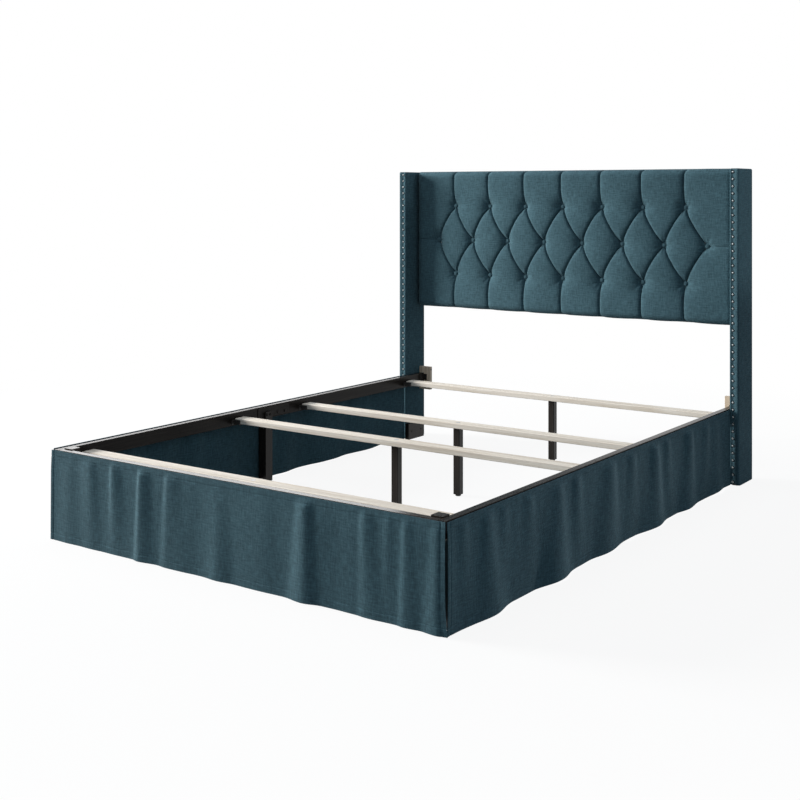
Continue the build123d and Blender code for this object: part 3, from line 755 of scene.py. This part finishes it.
def pad_base(lines_s, lines_t):
    """The pad before it is tufted, and the way into it at each grid place."""
    place_s, drop_s, back_s = lines_s[1:]
    place_t, drop_t, back_t = [line[:, None] for line in lines_t[1:]]
    front = pad_front + crown_at(place_s)
    depth = pad_back - front
    share_s = (drop_s + back_s * (depth - drop_s)) / depth
    share_t = (drop_t + back_t * (depth - drop_t)) / depth
    y = front + depth * (1 - (1 - share_s) * (1 - share_t))
    base = np.stack([np.broadcast_to(place_s, y.shape), y,
                     np.broadcast_to(pad_middle + place_t, y.shape)], axis=2)
    inward = np.cross(np.gradient(base, axis=0), np.gradient(base, axis=1))
    inward /= np.maximum(np.linalg.norm(inward, axis=2, keepdims=True), tiny)
    inward *= np.where(inward[:, :, 1:2] < 0, -1, 1)
    return base, inward


def cell_slants(arc_s, arc_t):
    """Cuts each quad between the buttons along the crease that crosses its cell."""
    middle_s = (arc_s[:-1] + arc_s[1:]) / 2
    middle_t = (arc_t[:-1] + arc_t[1:])[:, None] / 2
    cell_s = np.floor((middle_s + last_button) / (tuft_pitch / 2)).astype(int)
    cell_t = np.floor((middle_t + tuft_row) / tuft_row).astype(int)
    inside = (np.abs(middle_s) < last_button) & (np.abs(middle_t) < tuft_row)
    return np.where(inside, np.where((cell_s + cell_t) % 2 == 1, 1, -1), 0)


def tufted_pad():
    """The quilted headboard pad, with its roll at each side and its return to the back."""
    lines_s, lines_t = pad_lines()
    arc_s, arc_t = lines_s[0], lines_t[0]
    grid_s, grid_t = np.meshgrid(arc_s, arc_t)
    relief = pad_relief(grid_s, grid_t, arc_s, arc_t)
    keep_s, keep_t = kept_relief(grid_s, grid_t)
    base, inward = pad_base(lines_s, lines_t)
    points = base + inward * (relief * keep_s * keep_t)[:, :, None]
    inside = np.clip((pad_half - np.abs(points[:, :, 0])) / bow_fade, 0, 1)
    points[:, :, 0] -= bow_at(grid_t) * inside
    points[:, :, 2] += np.where(grid_t < 0, -pad_sag, pad_rise) * past_rows(grid_t)
    points[:, :, 0] = np.clip(points[:, :, 0], -pad_half, pad_half)
    points[:, :, 2] = np.clip(points[:, :, 2], pad_low.z - pad_sag, pad_high.z + pad_rise)
    faces = grid_faces(*grid_s.shape, slant=cell_slants(arc_s, arc_t))
    faces.append(tuple(grid_rim(*grid_s.shape)))
    uv = np.stack([grid_s, grid_t], axis=2).reshape(-1, 2)
    pad = piece_from("headboard_pad", points.reshape(-1, 3), faces, cloth, uv)
    tidy_shell(pad)
    sharpen(pad, degrees=60)
    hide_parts("headboard_tufted_pad")
    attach(pad, "bed")


def buttons():
    """Cloth-covered domes, drawn in at their rims."""
    dome = [(radius * button_radius, height * button_height) for radius, height in button_shares]
    centres = [(x, pad_front + float(crown_at(x) + seat_drop(x)), pad_middle + t)
               for x, t in button_places()]
    points, faces = domes(dome, button_sides, centres)
    piece = piece_from("tufting_buttons", points, faces, cloth)
    box_uv(piece)
    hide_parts("tuft_buttons")
    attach(piece, "bed")


# Wings

def nail_places(side, low, high):
    """Nails down a wing's front edge as (x, z)."""
    inner = low.x if side > 0 else high.x
    pitch = (high.z - low.z - 2 * nail_end_margin) / (nails_per_wing - 1)
    return [(inner + side * nail_inset, low.z + nail_end_margin + k * pitch)
            for k in range(nails_per_wing)]


def graded(low, high, step, rounding):
    """Places from low to high, closer together where each end is rounded."""
    turns = np.linspace(0, 1, rounding_lines) * rounding
    count = max(2, round((high - low - 2 * rounding) / step) + 1)
    return np.unique(np.concatenate([low + turns, np.linspace(low + rounding, high - rounding, count),
                                     high - turns]).round(grid_digits))


def rounded_box(low, high, steps, radius):
    """A mesh of a box with rounded edges all round, as one closed grid."""
    box = bmesh.new()
    lines = [graded(low[k], high[k], steps[k], radius) for k in range(3)]
    corners = {}

    def corner(place):
        key = tuple(round(part, grid_digits) for part in place)
        if key not in corners:
            corners[key] = box.verts.new(place)
        return corners[key]

    for axis in range(3):
        first, second = [k for k in range(3) if k != axis]
        for level in (low[axis], high[axis]):
            for i in range(len(lines[first]) - 1):
                for j in range(len(lines[second]) - 1):
                    ring = []
                    for di, dj in ((0, 0), (1, 0), (1, 1), (0, 1)):
                        place = [0.0] * 3
                        place[axis] = level
                        place[first] = lines[first][i + di]
                        place[second] = lines[second][j + dj]
                        ring.append(corner(place))
                    box.faces.new(ring)
    for point in box.verts:
        inner = Vector([min(max(point.co[k], low[k] + radius), high[k] - radius) for k in range(3)])
        out = point.co - inner
        if out.length > tiny:
            point.co = inner + out.normalized() * radius
    bmesh.ops.recalc_face_normals(box, faces=box.faces)
    return box


def wing_cover(name, side):
    """Cloth over padding: bulged flanks, a seam by the outer front edge, dimples at the nails."""
    node = "wing_cover_" + name
    low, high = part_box(node)
    box = rounded_box((low.x, low.y, low.z - wing_edge_radius), (high.x, high.y, high.z),
                      wing_steps, wing_edge_radius)
    nails = np.array(nail_places(side, low, high))
    width, depth, height = high.x - low.x, high.y - low.y, high.z - low.z
    middle_x, middle_y = (low.x + high.x) / 2, (low.y + high.y) / 2
    seam_x = middle_x + side * (width / 2 - wing_seam_inset)
    rate_z, rate_y, cross_rate_y = wing_ripple_rates
    for point in box.verts:
        x, y, z = point.co
        z = max(z, low.z)
        share_x = 2 * (x - middle_x) / width
        share_y = 2 * (y - middle_y) / depth
        share_z = (z - low.z) / height
        ease = (min(1.0, (1 - share_z) * wing_top_ease)
                * min(1.0, share_z * wing_toe_ease + wing_toe_bulge_share))
        if abs(share_x) > wing_flank_share:
            x -= math.copysign(wing_bulge * share_y ** 2 * ease, share_x)
            x += (wing_ripple * math.sin(rate_z * z + rate_y * y + side)
                  * math.cos(cross_rate_y * y) * ease)
        if share_y < -wing_front_share:
            off = np.hypot(nails[:, 0] - x, nails[:, 1] - z).min()
            y += nail_dimple * math.exp(-(off / nail_dimple_reach) ** 2)
            y += nail_valley * math.exp(-((x - nails[0, 0]) / nail_valley_reach) ** 2)
            y += wing_seam_depth * math.exp(-((x - seam_x) / wing_seam_width) ** 2)
        toe = wing_toe_radius - (z - low.z)
        if toe > 0 and share_y < 0:
            y += (wing_toe_radius - math.sqrt(wing_toe_radius ** 2 - toe ** 2)) * share_y ** 2
        point.co = (x, y, z)
    mesh = bpy.data.meshes.new("wing_" + name)
    box.to_mesh(mesh)
    box.free()
    smooth(mesh, cloth)
    piece = link(bpy.data.objects.new("wing_" + name, mesh))
    tidy_shell(piece)
    box_uv(piece)
    sharpen(piece, degrees=55)
    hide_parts(node)
    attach(piece, "bed")


def nail_trim(name, side):
    """Domed nails with a rolled rim, seated in the cloth; the outer rim is near black, partly patina
    and partly painted shade for the shadow round each nail.
    """
    node = "nailheads_" + name
    low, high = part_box("wing_cover_" + name)
    crown = nail_height + nail_sink
    dome = [(radius * nail_radius, height * crown - nail_sink) for radius, height in nail_shares]
    front = low.y + nail_seat + nail_valley
    centres = [(x, front, z) for x, z in nail_places(side, low, high)]
    points, faces = domes(dome, nail_sides, centres)
    piece = piece_from("nail_trim_" + name, points, faces, pewter)
    # Faces past the cap rings get the near-black rim: patina together with painted shade
    piece.data.materials.append(patina_and_painted_shade)
    faces_each = len(faces) // len(centres)
    for face in piece.data.polygons:
        if face.index % faces_each >= nail_sides * nail_cap_rings:
            face.material_index = 1
    sharpen(piece, degrees=50)
    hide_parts(node)
    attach(piece, "bed")


# Skirts

# Folds as (place along, height at the top, height at the hem, reach before, reach after)
foot_folds = (
    (0.192, 0.005, 0.001, 0.120, 0.070), (0.304, 0.007, 0.000, 0.034, 0.080),
    (0.437, 0.009, 0.009, 0.037, 0.085), (0.560, 0.007, 0.006, 0.045, 0.115),
    (0.777, 0.000, 0.006, 0.065, 0.075), (0.942, 0.001, 0.004, 0.120, 0.120),
    (1.112, 0.009, 0.013, 0.080, 0.062), (1.322, 0.006, 0.005, 0.045, 0.075),
    (1.400, 0.002, 0.000, 0.030, 0.040), (1.460, 0.004, 0.005, 0.030, 0.060),
    (1.562, 0.003, 0.008, 0.055, 0.030),
)
side_folds = (
    (0.000, 0.001, 0.002, 0.050, 0.070),
    (0.206, 0.002, 0.020, 0.200, 0.130), (0.585, 0.003, 0.022, 0.120, 0.170),
    (0.935, 0.003, 0.013, 0.110, 0.150), (1.313, 0.003, 0.018, 0.150, 0.150),
    (1.625, 0.003, 0.012, 0.110, 0.120), (1.894, 0.003, 0.009, 0.110, 0.110),
    (0.075, 0.005, 0.000, 0.060, 0.070), (0.198, 0.006, 0.000, 0.075, 0.070),
    (0.288, 0.005, 0.000, 0.060, 0.070), (0.432, 0.007, 0.001, 0.080, 0.080),
    (0.612, 0.006, 0.003, 0.085, 0.085), (0.734, 0.007, 0.001, 0.070, 0.080),
    (0.972, 0.009, 0.001, 0.110, 0.100), (1.142, 0.007, 0.001, 0.080, 0.080),
    (1.326, 0.007, 0.000, 0.090, 0.080), (1.434, 0.006, 0.000, 0.065, 0.075),
    (1.636, 0.008, 0.000, 0.090, 0.085), (1.806, 0.007, 0.000, 0.085, 0.085),
)
# Lifts of the hem as (place along, rise)
foot_lifts = ((0.52, 0.001), (0.95, 0.001), (1.22, 0.001))
side_lifts = ((0.00, -0.001), (0.30, 0.001), (1.12, 0.003), (1.45, 0.001), (1.94, 0.003))
# Flares at the first and the last end as (reach at the hem, power of the way down)
foot_flares = ((0.004, 1), (0.009, 6))
side_flares = ((0.0075, 8), (0.0, 1))


def fold_bump(along, centre, before, after):
    """A rounded ridge with its own reach on each side."""
    off = along - centre
    share = np.where(off < 0, off / before, off / after)
    return np.where(np.abs(share) < 1, np.cos(share * math.pi / 2) ** 2, 0.0)


def marked(length, marks):
    """Even places along a length, with closer ones at each stitched line and both rims."""
    even = np.linspace(0.0, length, round(length / skirt_step) + 1)
    stitches = [mark + off * stitch_width for mark in marks for off in stitch_lines]
    places = np.sort(np.concatenate([even, stitches, [rim_step, length - rim_step]]))
    keep = [places[0]]
    for place in places[1:]:
        if place - keep[-1] > least_step:
            keep.append(place)
    keep[-1] = length
    return np.array(keep)


def folded(grid_a, grid_d, share, folds):
    """How far the folds and the finest ripples stand out at each grid place."""
    out = np.zeros(grid_a.shape)
    free = np.clip((share - held_share) / (1 - held_share), 0, 1)
    for centre, top_height, hem_height, before, after in folds:
        sway = fold_sway * random.uniform(-1, 1) * share
        grow = fold_top_share + (1 - fold_top_share) * share
        bump = fold_bump(grid_a, centre + sway, before * grow, after * grow)
        rise = (top_height * np.clip(free * fold_onset, 0, 1)
                + (hem_height - top_height) * free ** fold_power)
        out += bump * rise
    for _ in range(ripple_waves):
        wave = random.uniform(*ripple_rates)
        turn = random.uniform(0, 2 * math.pi)
        slope = random.uniform(-ripple_slope, ripple_slope)
        out += (ripple_height * (1 + np.sin(wave * grid_a + slope * grid_d + turn))
                * np.clip(free * ripple_onset, 0, 1))
    return out


def stitch(out, grid_a, grid_d, length, height):
    """Raises the bands along the panel's four edges and sinks their stitched lines."""
    band = ((grid_d < top_band) | (grid_d > height - hem_band) | (grid_a < end_band)
            | (grid_a > length - end_band))
    near_level = np.minimum(np.abs(grid_d - top_band), np.abs(grid_d - height + hem_band))
    near_upright = np.minimum(np.abs(grid_a - end_band), np.abs(grid_a - length + end_band))
    out += band_rise * band * np.clip(np.minimum(near_level, near_upright) / band_slope, 0, 1)
    out -= seam_groove * np.exp(-(near_level / stitch_width) ** 2)
    out -= stitch_groove * np.exp(-(near_upright / stitch_width) ** 2)


def flared(grid_a, share, length, flares):
    """How far each end of the panel reaches out past its length."""
    (first, first_power), (last, last_power) = flares
    return (last * share ** last_power * np.clip(1 - (length - grid_a) / flare_reach, 0, 1)
            - first * share ** first_power * np.clip(1 - grid_a / flare_reach, 0, 1))


def skirt(side, node, folds, lifts, flares, length, start, along_way, out_way):
    """A lined panel that hangs from its top edge; what its folds take up raises the hem."""
    low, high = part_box(node)
    top = high.z + top_shifts[side]
    height = top - low.z + hem_fall
    along = marked(length, (end_band, length - end_band))
    down = marked(height, (top_band, height - hem_band))
    grid_a, grid_d = np.meshgrid(along, down)
    share = grid_d / height
    out = folded(grid_a, grid_d, share, folds)
    stitch(out, grid_a, grid_d, length, height)
    lift = np.zeros(grid_a.shape)
    for centre, rise in lifts:
        lift += rise * fold_bump(grid_a, centre, lift_reach, lift_reach)
    drop = grid_d * (1 - (0.5 * out ** 2 / height + lift) / height)
    along_way, out_way = np.array(along_way), np.array(out_way)
    outer = (np.array(start) + (grid_a + flared(grid_a, share, length, flares))[:, :, None] * along_way
             + (cloth_thickness + out)[:, :, None] * out_way)
    outer[:, :, 2] = top - drop
    normal = np.cross(np.gradient(outer, axis=1), np.gradient(outer, axis=0))
    normal /= np.linalg.norm(normal, axis=2, keepdims=True)
    facing = np.sign((normal * out_way).sum(axis=2, keepdims=True))
    inner = outer - normal * facing * cloth_thickness
    inner[:, :, 2] = outer[:, :, 2]
    points = np.concatenate([outer.reshape(-1, 3), inner.reshape(-1, 3)])
    uv = np.stack([grid_a, -grid_d], axis=2).reshape(-1, 2)
    piece = piece_from("skirt_" + side, points, panel_faces(*grid_a.shape), cloth,
                       np.concatenate([uv, uv]))
    tidy_shell(piece, skirt_join_distance)
    sharpen(piece, degrees=60)
    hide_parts(node)
    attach(piece, "bed")


def skirts():
    strip_low, strip_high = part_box("skirt_strip_foot")
    skirt("foot", "foot_skirt", foot_folds, foot_lifts, foot_flares,
          length=strip_high.x - strip_low.x + 2 * foot_overrun,
          start=(strip_low.x - foot_overrun, strip_low.y, 0), along_way=(1, 0, 0),
          out_way=(0, -1, 0))
    for name, way in (("left", -1), ("right", 1)):
        strip_low, strip_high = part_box("skirt_strip_" + name)
        face = strip_high.x if way > 0 else strip_low.x
        skirt(name, "side_skirt_" + name, side_folds, side_lifts, side_flares,
              length=strip_high.y - strip_low.y + side_overrun - side_start,
              start=(face, strip_low.y + side_start, 0), along_way=(0, 1, 0),
              out_way=(way, 0, 0))


# Studio

def white_to_the_eye(tree):
    """One for camera, glossy and transmission rays, and zero for the light that falls on things."""
    rays = tree.nodes.new("ShaderNodeLightPath")
    total = rays.outputs["Is Camera Ray"]
    for name in ("Is Glossy Ray", "Is Transmission Ray"):
        add = tree.nodes.new("ShaderNodeMath")
        add.operation = "MAXIMUM"
        tree.links.new(total, add.inputs[0])
        tree.links.new(rays.outputs[name], add.inputs[1])
        total = add.outputs[0]
    return total


def studio_world():
    """Soft cool fill, seen as white."""
    world = bpy.data.worlds.new("studio")
    bpy.context.scene.world = world
    world.use_nodes = True
    tree = world.node_tree
    background = tree.nodes["Background"]
    mix = tree.nodes.new("ShaderNodeMix")
    mix.data_type = "RGBA"
    tree.links.new(white_to_the_eye(tree), mix.inputs[mix_factor])
    mix.inputs[mix_first].default_value = (*world_fill, 1)
    mix.inputs[mix_second].default_value = (1, 1, 1, 1)
    tree.links.new(mix.outputs[mix_result], background.inputs["Color"])
    background.inputs["Strength"].default_value = 1.0


def studio_floor():
    """A pale floor, seen as white, that keeps a faint shadow near the bed."""
    half = floor_half
    mesh = bpy.data.meshes.new("floor")
    mesh.from_pydata([(-half, -half, 0), (half, -half, 0), (half, half, 0), (-half, half, 0)], [],
                     [(0, 1, 2, 3)])
    floor = link(bpy.data.objects.new("floor", mesh))
    material = bpy.data.materials.new("floor_white")
    material.use_nodes = True
    tree = material.node_tree
    tree.nodes.clear()
    out = tree.nodes.new("ShaderNodeOutputMaterial")
    plain = tree.nodes.new("ShaderNodeBsdfDiffuse")
    plain.inputs["Color"].default_value = (*floor_colour, 1)
    shadow = tree.nodes.new("ShaderNodeBsdfDiffuse")
    shadow.inputs["Color"].default_value = (*shadow_colour, 1)
    glow = tree.nodes.new("ShaderNodeEmission")
    places = tree.nodes.new("ShaderNodeTexCoord")
    away = tree.nodes.new("ShaderNodeVectorMath")
    away.operation = "LENGTH"
    tree.links.new(places.outputs["Object"], away.inputs[0])
    fade = tree.nodes.new("ShaderNodeMapRange")
    fade.inputs["From Min"].default_value = shadow_near
    fade.inputs["From Max"].default_value = shadow_far
    fade.inputs["To Min"].default_value = shadow_share
    fade.inputs["To Max"].default_value = 0.0
    tree.links.new(away.outputs["Value"], fade.inputs["Value"])
    seen = tree.nodes.new("ShaderNodeMixShader")
    tree.links.new(fade.outputs[0], seen.inputs[0])
    tree.links.new(glow.outputs[0], seen.inputs[1])
    tree.links.new(shadow.outputs[0], seen.inputs[2])
    switch = tree.nodes.new("ShaderNodeMixShader")
    tree.links.new(white_to_the_eye(tree), switch.inputs[0])
    tree.links.new(plain.outputs[0], switch.inputs[1])
    tree.links.new(seen.outputs[0], switch.inputs[2])
    tree.links.new(switch.outputs[0], out.inputs["Surface"])
    mesh.materials.append(material)


def pointed(name, light, place, aim, power, colour):
    """Sets a light at its place, turned towards its aim."""
    light.energy = power
    light.color = colour
    holder = link(bpy.data.objects.new(name, light))
    holder.location = place
    way = Vector(aim) - Vector(place)
    holder.rotation_mode = "QUATERNION"
    holder.rotation_quaternion = way.to_track_quat("-Z", "Y")
    holder.visible_camera = False


def softbox(name, place, aim, width, height, power, colour=(1.0, 1.0, 1.0)):
    light = bpy.data.lights.new(name, "AREA")
    light.shape = "RECTANGLE"
    light.size = width
    light.size_y = height
    pointed(name, light, place, aim, power, colour)


def spot(name, place, aim, spread, blend, size, power, colour):
    light = bpy.data.lights.new(name, "SPOT")
    light.spot_size = spread
    light.spot_blend = blend
    light.shadow_soft_size = size
    pointed(name, light, place, aim, power, colour)


def studio_lamps():
    """A broad key low on the left, a high lamp, a strip that the rails mirror, and two spots."""
    softbox("key", place=(-10.5, -3.1, 3.9), aim=(0.0, 0.6, 0.7), width=4.4, height=3.2,
            power=2350.0, colour=(1.0, 0.99, 0.97))
    softbox("overhead", place=(-1.0, 0.2, 4.5), aim=(-0.2, 0.2, 0.0), width=2.4, height=2.4,
            power=30.0)
    softbox("rim_strip", place=(-3.9, 2.85, 1.57), aim=(-0.1, -1.1, 0.3), width=3.7, height=0.8,
            power=25.0)
    spot("wing_spot", place=(4.0, 1.0, 1.6), aim=(0.83, 1.04, 1.10), spread=0.213, blend=0.25,
         size=0.08, power=80.0, colour=(0.93, 0.98, 1.0))
    spot("skirt_spot", place=(2.92, 9.80, 0.5), aim=(0.8, -0.55, 0.15), spread=0.054, blend=0.5,
         size=0.12, power=1450.0, colour=(0.86, 0.96, 1.0))


def studio_camera():
    data = bpy.data.cameras.new("camera")
    data.lens = camera_lens
    data.sensor_width = camera_sensor
    data.shift_y = camera_shift_y
    data.clip_end = camera_reach
    holder = link(bpy.data.objects.new("camera", data))
    holder.location = camera_place
    holder.rotation_euler = (math.pi / 2, 0, camera_turn)
    bpy.context.scene.camera = holder


tufted_pad()
buttons()
for name, side in (("left", -1), ("right", 1)):
    wing_cover(name, side)
    nail_trim(name, side)
skirts()
finish_nodes()
studio_world()
studio_floor()
studio_lamps()
studio_camera()
bpy.context.scene.view_settings.view_transform = "Standard"
